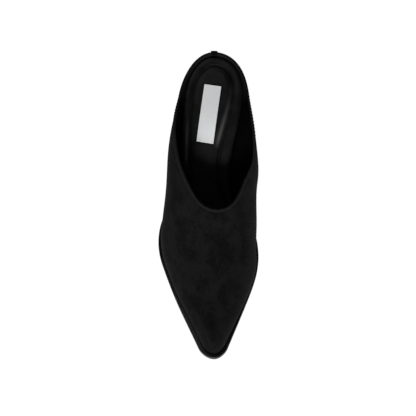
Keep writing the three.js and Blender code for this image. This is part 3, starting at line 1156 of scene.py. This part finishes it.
@dataclass
class Upper(OnLast):
    """The one-piece suede upper: a thin shell with a folded, stitched topline."""

    # millimetres under the topline
    near_rows: tuple[float, ...] = (
        0, 0.1, 0.25, 0.45, 0.7, 1.0, 1.4, 1.8, 2.1, 2.35, 2.6, 2.85, 3.2, 3.8)
    rows: int = 58
    fine: int = 240
    near_most: float = 0.6
    rounded: float = 0.75 * MM
    fold: float = 2.3 * MM
    fold_rise: float = 0.22 * MM
    fold_soft: float = 0.3 * MM
    seam: float = 2.6 * MM
    seam_depth: float = 0.16 * MM
    seam_width: float = 0.4 * MM
    thread_lift: float = 0.06 * MM
    tuck: float = 0.35 * MM
    tuck_height: float = 1.4 * MM
    uneven: float = 0.22 * MM
    wave: float = 26 * MM
    wave_foot: float = 10 * MM
    wave_rim: float = 8 * MM
    crease_fades: tuple[float, float] = (1 * MM, 9 * MM)
    # lining lighter towards the heel: partly the heel's own sock-like lining leather, partly painted
    # light where the heel wall faces the front lamp
    heel_lining_and_painted_light: tuple[float, float] = (78 * MM, 92 * MM)
    creases: tuple[Crease, ...] = (
        Crease((150 * MM, 17 * MM), (182 * MM, 10 * MM), 7.5 * MM, 0.75 * MM),
        Crease((150 * MM, -15 * MM), (184 * MM, -9 * MM), 7.5 * MM, 0.75 * MM),
        Crease((148 * MM, 1 * MM), (200 * MM, 1 * MM), 6.0 * MM, -0.45 * MM),
    )

    def half(self, at: Points, side: Side) -> Points:
        """Points of one side, close together under the topline.

        Args:
            at: Stations along the shoe.
            side: Side of the shoe.

        Returns:
            Points, shaped (stations, rows, 3).
        """
        ribs = Ribs(self.last, at, side)
        fine = ribs.ends()[:, None] * np.linspace(0, 1, self.fine)
        dense = ribs.points(fine)
        steps = np.linalg.norm(np.diff(dense, axis=1), axis=2)
        run = np.concatenate([np.zeros((len(at), 1)), np.cumsum(steps, axis=1)], axis=1)
        full = run[:, -1]
        near = np.array(self.near_rows) * MM
        near = near * np.minimum(1, self.near_most * full[:, None] / near[-1])
        left = self.rows - near.shape[1]
        far = near[:, -1:] + (full[:, None] - near[:, -1:]) * np.arange(1, left + 1) / left
        places = full[:, None] - np.concatenate([near, far], axis=1)
        along = np.stack([np.interp(places[k], run[k], fine[k]) for k in range(len(at))])
        return ribs.points(along)[:, ::-1]

    def topline(self, at: Points) -> Points:
        """The topline from the back of the heel round the inner side, throat and outer side.

        Args:
            at: Stations from the heel to the throat.

        Returns:
            Its dots.
        """
        halves = []
        for side in Side:
            ribs = Ribs(self.last, at, side)
            halves.append(ribs.points(ribs.ends()[:, None])[:, 0])
        return dotted(np.concatenate([halves[0], halves[1][::-1]]), PITCH / 2)

    def build(self, suede: Material, lining: Material, thread: Material) -> list[Piece]:
        """Builds the shell and its stitches.

        Args:
            suede: Finish of the outside.
            lining: Finish of the inside.
            thread: Finish of the stitches.

        Returns:
            The pieces.
        """
        last = self.last
        at = stations(last)
        skin = two_sided(partial(self.half, at))
        normals = skin.weld()
        outer = skin.points
        rim = self.topline(at[at <= last.throat / last.length])
        feet = [dotted(last.edge(at, side, 0.0, last.footing), PITCH) for side in Side]
        from_rim, from_feet = nearest(outer, rim)[1], nearest(outer, np.concatenate(feet))[1]
        inside = outer - normals * last.wall
        self.level_foot(at, outer, inside)
        round_off = self.rounded - np.sqrt(np.maximum(
            0, self.rounded**2 - np.maximum(0, self.rounded - from_rim) ** 2))
        fold_ends = self.fold - self.fold_soft, self.fold + self.fold_soft
        fold = self.fold_rise * (1 - smooth(from_rim, *fold_ends))
        seam = self.seam_depth * np.exp(-(((from_rim - self.seam) / self.seam_width) ** 2))
        low = np.maximum(0, 1 - from_feet / self.tuck_height)
        pressed = sum(crease.press(last, outer) for crease in self.creases)
        pressed = pressed * smooth(from_rim, *self.crease_fades)
        wavy = self.uneven * random_field(outer, self.wave)
        wavy = wavy * smooth(from_feet, 0, self.wave_foot) * smooth(from_rim, 0, self.wave_rim)
        shift = fold - round_off - seam - self.tuck * low**2 - pressed + wavy
        skin.points = outer + normals * shift[:, None]
        own = skin.back(inside + normals * round_off[:, None])
        shell = skin.piece("suede_upper", self.origin, suede, lining, closed=False)
        shell.data.polygons.foreach_set("material_index", [0] * (len(skin.panels) - own) + [1] * own)
        mark(shell, "from_topline", np.concatenate([from_rim, from_rim]))
        mark(shell, "from_feather", np.concatenate([from_feet, from_feet]))
        # partly real heel lining and partly painted light, lighter towards the heel, for the lining's
        # finish to read
        mark(shell, "paler_tone_and_painted_light", smooth(skin.points[:, 1], *self.heel_lining_and_painted_light))
        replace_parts(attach(shell, BODY), "upper")
        path = self.seam_path(rim, skin.points[:len(outer)], skin.panels[:own])
        line = StitchLine().sew("topline_stitches", path + self.origin, thread)
        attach(line, BODY)
        return [shell, line]

    def level_foot(self, at: Points, outer: Points, inside: Points) -> None:
        """Puts the lining's lowest row on the midsole, a wall inside the feather edge.

        Args:
            at: Stations along the shoe.
            outer: Points of the outside.
            inside: Points of the lining, which it changes.
        """
        for side in Side:
            feet = self.last.edge(at, side, 0.0, self.last.footing)
            backs = self.last.edge(at, side, -self.last.wall, self.last.footing)
            which, apart = nearest(outer, feet)
            low = apart < TOUCH
            inside[low] = backs[which[low]]

    def seam_path(self, rim: Points, points: Points, panels: list[Panel]) -> Points:
        """Where the stitches lie, on the surface at one distance from the topline.

        Args:
            rim: Dots of the topline.
            points: Points of the outer face.
            panels: Its panels.

        Returns:
            Points of the path.
        """
        surface = BVHTree.FromPolygons(points.tolist(), panels)
        path = []
        stride, look = 8, 10
        dots = zip(rim[:-2 * look:stride], rim[look:-look:stride], rim[2 * look::stride])
        for before, here, after in dots:
            _, normal, _, _ = surface.find_nearest(Vector(here))
            inward = Vector(after - before).cross(normal).normalized()
            tries = [Vector(here) + inward * self.seam * sign for sign in (1, -1)]
            best = min((surface.find_nearest(spot) for spot in tries), key=lambda hit: hit[3])
            path.append(np.array(best[0] + best[1] * self.thread_lift))
        return np.array(path)


def random_field(points: Points, size: float) -> Points:
    """A soft random value at each point, from patches of a size in metres."""
    return np.array([noise.noise(Vector(point) / size) for point in points])


@dataclass
class BackStrip(OnLast):
    """The narrow suede strip that closes the back and turns over the topline."""

    width: float = 6 * MM
    thick: float = 0.8 * MM
    flap: float = 1.2 * MM
    foot: float = 0.12
    steps: int = 12
    climb_rows: int = 12
    bend_rows: int = 9
    flap_rows: int = 4
    climb_step: float = 0.01
    least: float = 0.15

    def build(self, suede: Material) -> Piece:
        """Builds the strip as a band with soft edges.

        Args:
            suede: Its finish.

        Returns:
            The piece.
        """
        last = self.last
        reach = self.width / 2 / (SECTIONS["inside"](0) * last.ball)
        turn = math.asin(reach) * math.sqrt(2 * last.heel_round / last.length)
        angles = turn * (2 * np.arange(self.steps + 1) / self.steps - 1)
        over = last.gap + self.thick / 2
        path = [(up, over, 0.0) for up in np.linspace(self.foot, 1.0, self.climb_rows)]
        path += [(1.0, *self.crook(angle)) for angle in np.linspace(0, np.pi, self.bend_rows)[1:]]
        flap = np.linspace(0, self.flap, self.flap_rows + 1)[1:]
        path += [(1.0, -last.wall - over, -down) for down in flap]
        skin = Skin()
        skin.grid(np.stack([self.row(angles, *step) for step in path]))
        normals = skin.weld()
        across = np.abs(np.tile(np.linspace(-1, 1, self.steps + 1), len(path)))
        half = self.thick / 2 * np.sqrt(np.maximum(self.least, 1 - across**6))
        centre = skin.points.copy()
        skin.points = centre + normals * half[:, None]
        skin.back(centre - normals * half[:, None])
        made = skin.piece("folded_back_strip", self.origin, suede)
        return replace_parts(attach(made, BODY), "back_strip")

    def crook(self, angle: float) -> tuple[float, float]:
        """Offset and height of the strip's middle as it turns over the topline."""
        wall, rise = self.last.wall, self.last.gap + self.thick / 2
        return (-wall / 2 + (wall / 2 + rise) * math.cos(angle), rise * math.sin(angle))

    def row(self, angles: Points, up: float, off: float, past: float) -> Points:
        """One row across the strip.

        Args:
            angles: Places along the outline, on both sides of the back.
            up: Share of the way up to the topline.
            off: Distance out of the upper's surface.
            past: Distance past the topline.

        Returns:
            Points of the row.
        """
        points = np.zeros((len(angles), 3))
        for side in Side:
            mine = angles >= 0 if side is Side.INNER else angles < 0
            at = (1 - np.cos(angles[mine])) / 2
            ribs = Ribs(self.last, at, side)
            end = ribs.ends()
            here = ribs.points(end[:, None] * up)[:, 0]
            climb = unit(ribs.points(end[:, None] * up + self.climb_step)[:, 0] - here)
            along = np.cross(self.last.outwards(at, side), [0.0, 0.0, 1.0])
            out = -np.cross(along, climb)
            points[mine] = here + out * off + climb * past
        return points


@dataclass(frozen=True)
class PaintedHighlightBand:
    """A painted highlight: a soft lighter band along one side of the sock, at a share of its rim's
    breadth.
    """

    side: Side
    inset: float
    start: tuple[float, float]
    end: tuple[float, float]
    width: float
    strength: float


@dataclass
class Insole(OnLast):
    """The padded leather sock: a rolled rim, a pressed groove and a soft raised pad."""

    thick: float = 4.2 * MM
    rim: float = 14 * MM
    rim_most: float = 0.85
    under_rows: int = 6
    rim_rows: int = 50
    pad_rows: int = 12
    fade_power: float = 1.5
    soft: float = 0.16 * MM
    wave: float = 13 * MM
    # painted highlights along the pad's inner edge and the outer rim
    painted_highlight_bands: tuple[PaintedHighlightBand, ...] = (
        PaintedHighlightBand(Side.INNER, 0.78, (0.09, 0.30), (0.295, 0.330), 1.5 * MM, 1.0),
        PaintedHighlightBand(Side.OUTER, 0.37, (0.20, 0.31), (0.345, 0.385), 1.1 * MM, 0.75),
    )

    def half(self, at: Points, side: Side) -> Points:
        """One side, from the middle of the underside round the rim to the middle of the pad.

        Args:
            at: Stations along the shoe.
            side: Side of the shoe.

        Returns:
            Points, shaped (stations, rows, 3).
        """
        rim, inward, breadth = self.rim_at(at, side)
        room = self.rim_most * np.linalg.norm(inward, axis=1)
        breadth = np.minimum(breadth, room)[:, None]
        rows = [self.lay(rim + inward * part, 0.0) for part in spaced(1, 0, self.under_rows)]
        places = np.linspace(0, SOCK_PROFILE["height"].at[-1], self.rim_rows)
        for inset, height in zip(SOCK_PROFILE["inset"](places), SOCK_PROFILE["height"](places)):
            rows.append(self.lay(rim + unit(inward) * (inset * breadth), height))
        ring = rim + unit(inward) * breadth
        for part in spaced(1, 0, self.pad_rows)[::-1]:
            rows.append(self.lay(ring + (rim + inward - ring) * part, 1.0))
        return np.stack(rows, axis=1)

    def rim_at(self, at: Points, side: Side) -> tuple[Points, Points, Points]:
        """The sock's edge and rim in plan.

        Args:
            at: Stations along the shoe.
            side: Side of the shoe.

        Returns:
            Its outer edge, the way from there to the middle, and its rim's breadth.
        """
        last = self.last
        rim = last.edge(at, side, -last.wall - last.gap, flat)
        return rim, last.middle(at) - rim, self.rim * SOCK_RIM[column(side)](at)

    def lay(self, points: Points, height: float) -> Points:
        """Puts points over the midsole.

        Args:
            points: Points in plan.
            height: Share of the sock's thickness.

        Returns:
            The points at their height.
        """
        points = points.copy()
        points[:, 2] = self.last.footing(points[:, 1]) + height * self.thick
        return points

    def paler_tone_and_painted_light(self, points: Points) -> Points:
        """How much painted highlight each point carries, along all the bands.

        Args:
            points: Points of the sock.

        Returns:
            A share for each point, from 0 to 1.
        """
        at = spread(0.05, 0.45, 120)
        share = self.last.share(points[:, 1])
        total = np.zeros(len(points))
        for band in self.painted_highlight_bands:
            rim, inward, breadth = self.rim_at(at, band.side)
            line = rim + unit(inward) * (band.inset * breadth)[:, None]
            _, away = nearest(points * (1, 1, 0), dotted(line, PITCH))
            along = smooth(share, *band.start) ** self.fade_power * (1 - smooth(share, *band.end))
            total += band.strength * along * np.exp(-(away / band.width) ** 2)
        return np.minimum(total, 1)

    def build(self, leather: Material) -> Piece:
        """Builds the sock with its soft unevenness.

        Args:
            leather: Its finish.

        Returns:
            The piece.
        """
        skin = two_sided(partial(self.half, stations(self.last, 90, 70)))
        skin.weld()
        lift = skin.points[:, 2] - self.last.footing(skin.points[:, 1])
        free = smooth(lift, 0.4 * self.thick, 0.8 * self.thick)
        skin.points[:, 2] += self.soft * (random_field(skin.points, self.wave) - 0.5) * free
        made = skin.piece("padded_sock", self.origin, leather)
        # painted highlights, for the sock's finish to read
        mark(made, "paler_tone_and_painted_light", self.paler_tone_and_painted_light(skin.points))
        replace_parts(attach(made, BODY), "insole")
        return made


@dataclass
class Bottom(OnLast):
    """The layers under the foot: the ledged midsole and the outsole."""

    bevel: float = 0.8 * MM
    brow: float = 0.9 * MM
    turn: float = 0.6 * MM
    broken: float = 0.2 * MM
    across: int = 7
    brow_rows: int = 7
    turn_rows: int = 5

    def layer(self, at: Points, side: Side, profile: Rows, under: Surface) -> Points:
        """One side of a layer, from the middle of its underside round its edge to its top's middle.

        Args:
            at: Stations along the shoe.
            side: Side of the shoe.
            profile: Inset and height of each row of its edge, from its underside up.
            under: Height of its underside.

        Returns:
            Points, shaped (stations, rows, 3).
        """
        def row(inset: float, lift: float, part: float = 1.0) -> Points:
            """One row along the shoe.

            Args:
                inset: Distance inside the layer's edge.
                lift: Height over the underside.
                part: Share of the way from the middle to the edge.

            Returns:
                Its points.
            """
            out = SECTIONS["ledge"](at) * self.last.ledge - inset
            mine = self.last.edge(at, side, out, flat)
            other = self.last.edge(at, side.other, out, flat)
            points = (mine + other) / 2 + (mine - other) / 2 * part
            points[:, 2] = under(points[:, 1]) + lift
            return points

        parts = spaced(0, 1, self.across)
        rows = [row(*profile[0], part) for part in parts]
        rows += [row(inset, lift) for inset, lift in profile]
        rows += [row(*profile[-1], part) for part in parts[::-1]]
        return np.stack(rows, axis=1)

    def build(self, name: str, profile: Rows, under: Surface, finish: Material) -> Piece:
        """Builds one layer.

        Args:
            name: Name of the piece.
            profile: Inset and height of each row of its edge.
            under: Height of its underside.
            finish: Its material.

        Returns:
            The piece.
        """
        at = stations(self.last, 100, 90)
        skin = two_sided(lambda side: self.layer(at, side, profile, under))
        skin.weld()
        return skin.piece(name, self.origin, finish)

    def midsole(self, finish: Material) -> Piece:
        """The glossy ledge that shows round the toe, with its top edge turned over.

        Args:
            finish: Its material.

        Returns:
            The piece.
        """
        start = self.last.midsole - self.brow
        over = [(self.bevel * (1 - math.cos(angle)), start + self.brow * math.sin(angle))
                for angle in np.linspace(0, np.pi / 2, self.brow_rows)]
        made = self.build("midsole_ledge", [(0.0, 0.0), *over], self.last.midsole_under, finish)
        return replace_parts(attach(made, BODY), "midsole")

    def outsole(self, finish: Material) -> Piece:
        """The sole, with its lower edge rounded and its upper edge broken.

        Args:
            finish: Its material.

        Returns:
            The piece.
        """
        tall = self.last.sole
        low = [(self.turn * (1 - math.sin(angle)), self.turn * (1 - math.cos(angle)))
               for angle in np.linspace(0, np.pi / 2, self.turn_rows)]
        profile = [*low, (0.0, tall - self.broken), (self.broken, tall)]
        made = self.build("inked_sole", profile, self.last.sole_under, finish)
        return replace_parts(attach(made, BODY), "outsole")


class Level(NamedTuple):
    """A level of the heel: the share of the block's height at which it is cut, its inset and height."""

    cut: float
    inset: float
    height: float


@dataclass
class Heel(OnLast):
    """The suede-covered block and its rubber lift."""

    seat: float = 64 * MM
    inset: float = 1.2 * MM
    lift: float = 6 * MM
    lift_reach: float = 18 * MM
    least_reach: float = 8 * MM
    steps: int = 60
    across: int = 8
    rows: int = 33

    def ring(self, side: Side, cut: float) -> Points:
        """Outline of the block, from back to breast.

        Args:
            side: Side of the shoe.
            cut: Share of the block's height.

        Returns:
            Points in plan, shaped (n, 3).
        """
        last, sizes = self.last, {name: curve(cut) for name, curve in HEEL_LEVELS.items()}
        bend = np.cos(np.pi * np.arange(self.steps + 1) / (2 * self.steps))
        at = self.seat / last.length * (1 - bend)
        plan = last.edge(at, side, SECTIONS["ledge"](at) * last.ledge - self.inset, flat)
        back = last.length / 2
        y = back - sizes["back"] * self.seat - (back - plan[:, 1]) * sizes["depth"]
        return np.stack([plan[:, 0] * sizes["width"], y, 0 * y], -1)

    def solid(self, levels: Sequence[Level], height: Callable[[float, Points], Points],
              reach: float | None = None) -> Skin:
        """A block through levels, closed across its breast, top and underside.

        Args:
            levels: Its levels, from the lowest up.
            height: Height over the floor for a level's height and the y of each point.
            reach: Distance from the middle that insets are meant for, or None for each row's own.

        Returns:
            Its welded skin.
        """
        def row(side: Side, level: Level, part: float = 1.0) -> Points:
            """One row of a level.

            Args:
                side: Side of the shoe.
                level: The level.
                part: Share of the way out from its middle.

            Returns:
                Its points.
            """
            mine, other = self.ring(side, level.cut), self.ring(side.other, level.cut)
            half = (mine - other) / 2
            size = reach or np.maximum(np.linalg.norm(half, axis=1, keepdims=True), self.least_reach)
            heart = np.array([0, (mine[0, 1] + mine[-1, 1]) / 2, 0])
            points = (mine + other) / 2 + half * part
            points = points - level.inset * (points - heart) / size
            points[:, 2] = height(level.height, points[:, 1])
            return points

        skin = Skin()
        parts = np.linspace(0, 1, self.across + 1)
        for side in Side:
            rows = [row(side, levels[0], part) for part in parts[:-1]]
            rows += [row(side, level) for level in levels]
            rows += [row(side, levels[-1], part) for part in parts[:-1][::-1]]
            skin.grid(np.stack(rows, axis=1), turned=side is Side.INNER)
            skin.grid(np.array([[row(side, level, part)[-1] for part in parts] for level in levels]))
        skin.weld()
        return skin

    def build(self, suede: Material, rubber: Material) -> list[Piece]:
        """Builds the block and the lift.

        Args:
            suede: Finish of the block's cover.
            rubber: Finish of the lift.

        Returns:
            The pieces.
        """
        last = self.last
        foot = self.lift + last.gap

        def leaning(share: float, y: Points) -> Points:
            """Height of the block's levels, which lean with the sole."""
            return foot + share * (last.sole_under(y) - last.gap - foot)

        def straight(height: float, y: Points) -> Points:
            """Height of the lift's levels, the same all over."""
            return flat(y) + height

        insets = {0.0: 0.35 * MM, 0.008: 0.1 * MM}
        levels = [Level(share, inset, share) for share, inset in insets.items()]
        levels += [Level(share, 0.0, share) for share in np.linspace(0, 1, self.rows)[1:]]
        block = self.solid(levels, leaning).piece("covered_heel", self.origin, suede)
        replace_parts(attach(block, BODY), "heel_block")
        edges = [(0.45, 0.0), (0.1, 0.3), (0.0, 0.8), (0.0, 3.0), (0.0, self.lift / MM - 0.5),
                 (0.25, self.lift / MM)]
        levels = [Level(0.0, inset * MM, height * MM) for inset, height in edges]
        lift = self.solid(levels, straight, self.lift_reach)
        lift = lift.piece("rubber_lift", self.origin, rubber)
        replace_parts(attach(lift, BODY), "top_lift")
        return [block, lift]


@dataclass(frozen=True)
class Studio:
    """A pale floor, a low soft light from the front and the camera of the photograph."""

    elevation: float = 72.0
    distance: float = 1.5
    aim_height: float = 30 * MM
    pixel: float = 0.86 * MM
    image: float = 416.0
    aim_u: float = 214.0
    aim_v: float = 205.0
    sensor: float = 36.0
    floor_reach: float = 3.0
    floor_under: float = 0.1 * MM
    floor_glow: float = 0.96
    room_glow: float = 0.12

    def floor(self) -> Piece:
        """The floor, just under the shoe.

        Returns:
            The piece.
        """
        mesh = bpy.data.meshes.new("studio_floor")
        turns = ((-1, -1), (1, -1), (1, 1), (-1, 1))
        places = [(x * self.floor_reach, y * self.floor_reach, -self.floor_under) for x, y in turns]
        mesh.from_pydata(places, [], [(0, 1, 2, 3)])
        made = put_up("studio_floor", mesh)
        bench = Bench("white_sweep")
        colour = bench.tint(bench.noise(0.4, 2), grey(0.11), grey(0.13))
        mesh.materials.append(bench.done(colour, Roughness=0.9, Emission_Strength=self.floor_glow,
                                         Emission_Color=(1, 1, 1, 1)))
        made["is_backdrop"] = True
        return made

    def lights(self) -> None:
        """A little light from the whole room, and more from two soft boxes."""
        room = bpy.data.worlds.new("dim_room")
        room.use_nodes = True
        glow = room.node_tree.nodes["Background"].inputs
        glow["Color"].default_value, glow["Strength"].default_value = (1, 1, 1, 1), self.room_glow
        bpy.context.scene.world = room
        boxes = {
            "front_box": ((-0.10, -1.38, 0.60), 28.5, 0.45),
            "heel_box": ((-0.3, 0.7, 1.3), 4.0, 0.5),
        }
        for name, (place, power, size) in boxes.items():
            lamp = bpy.data.lights.new(name, "AREA")
            lamp.energy, lamp.size = power, size
            made = put_up(name, lamp)
            made.location = place
            made.rotation_euler = (-Vector(place)).to_track_quat("-Z", "Y").to_euler()

    def camera(self, origin: Points) -> None:
        """The camera, at the photograph's angle and scale.

        Args:
            origin: Where the middle of the last lies.
        """
        tilt = math.radians(self.elevation)
        back = Vector((0, -math.cos(tilt), math.sin(tilt)))
        right, up = Vector((1, 0, 0)), Vector((0, math.sin(tilt), math.cos(tilt)))
        half = self.image / 2
        aim = Vector(origin) + Vector((0, 0, self.aim_height))
        aim += (half - self.aim_u) * self.pixel * right + (self.aim_v - half) * self.pixel * up
        lens = bpy.data.cameras.new("photo_camera")
        lens.sensor_width = self.sensor
        lens.lens = self.sensor * self.distance / (self.image * self.pixel)
        made = put_up("photo_camera", lens)
        made.location = aim + back * self.distance
        made.rotation_euler = back.to_track_quat("Z", "Y").to_euler()
        bpy.context.scene.camera = made


def corners(box: tuple[Vector, Vector]) -> list[list[float]]:
    """A box's lowest and highest corners as plain numbers."""
    return [list(corner) for corner in box]


def main() -> None:
    """Builds the shoe's pieces in order and sets the stage."""
    logging.basicConfig(level=logging.INFO, format="%(message)s")
    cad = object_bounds()
    last = Last()
    origin = last.origin()
    LOG.info("last at %s mm", np.round(origin / MM, 3))
    scene = bpy.context.scene
    scene.view_settings.view_transform = "Standard"
    suede, cover = Suede("upper_suede", edged=True).material(), Suede("heel_suede").material()
    # sock: its lighter colour is a painted highlight along the padded edges
    sock = Leather("sock_leather", light=0.0054, shine=0.12, paler_tone_and_painted_light=0.055).material()
    # lining: its lighter heel colour is partly a real heel lining and partly painted light
    lining = Leather("lining_leather", dark=0.0005, light=0.0012, roughness=0.7, shine=0.04,
                     paler_tone_and_painted_light=0.0085).material()
    gloss = Leather("ledge_leather", grain=0.6 * MM, depth=0.01 * MM, roughness=0.34).material()
    bottom = Bottom(last, origin)
    made = Upper(last, origin).build(suede, lining, Thread().material())
    made.append(BackStrip(last, origin).build(cover))
    made.append(Insole(last, origin).build(sock))
    made.append(bottom.midsole(gloss))
    made.append(bottom.outsole(EdgeInk().material()))
    made += Heel(last, origin).build(cover, Rubber().material())
    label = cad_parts["label"]
    label.data.materials.clear()
    label.data.materials.append(Foil().material())
    made.append(label)
    for piece in made:
        triangles = sum(len(face.vertices) - 2 for face in piece.data.polygons)
        LOG.info("%s: %d triangles", piece.name, triangles)
    studio = Studio()
    studio.floor()
    studio.lights()
    studio.camera(origin)
    bpy.context.view_layer.update()
    {"cad": corners(cad), "visual": corners(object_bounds())}


if __name__ == "__main__":
    main()
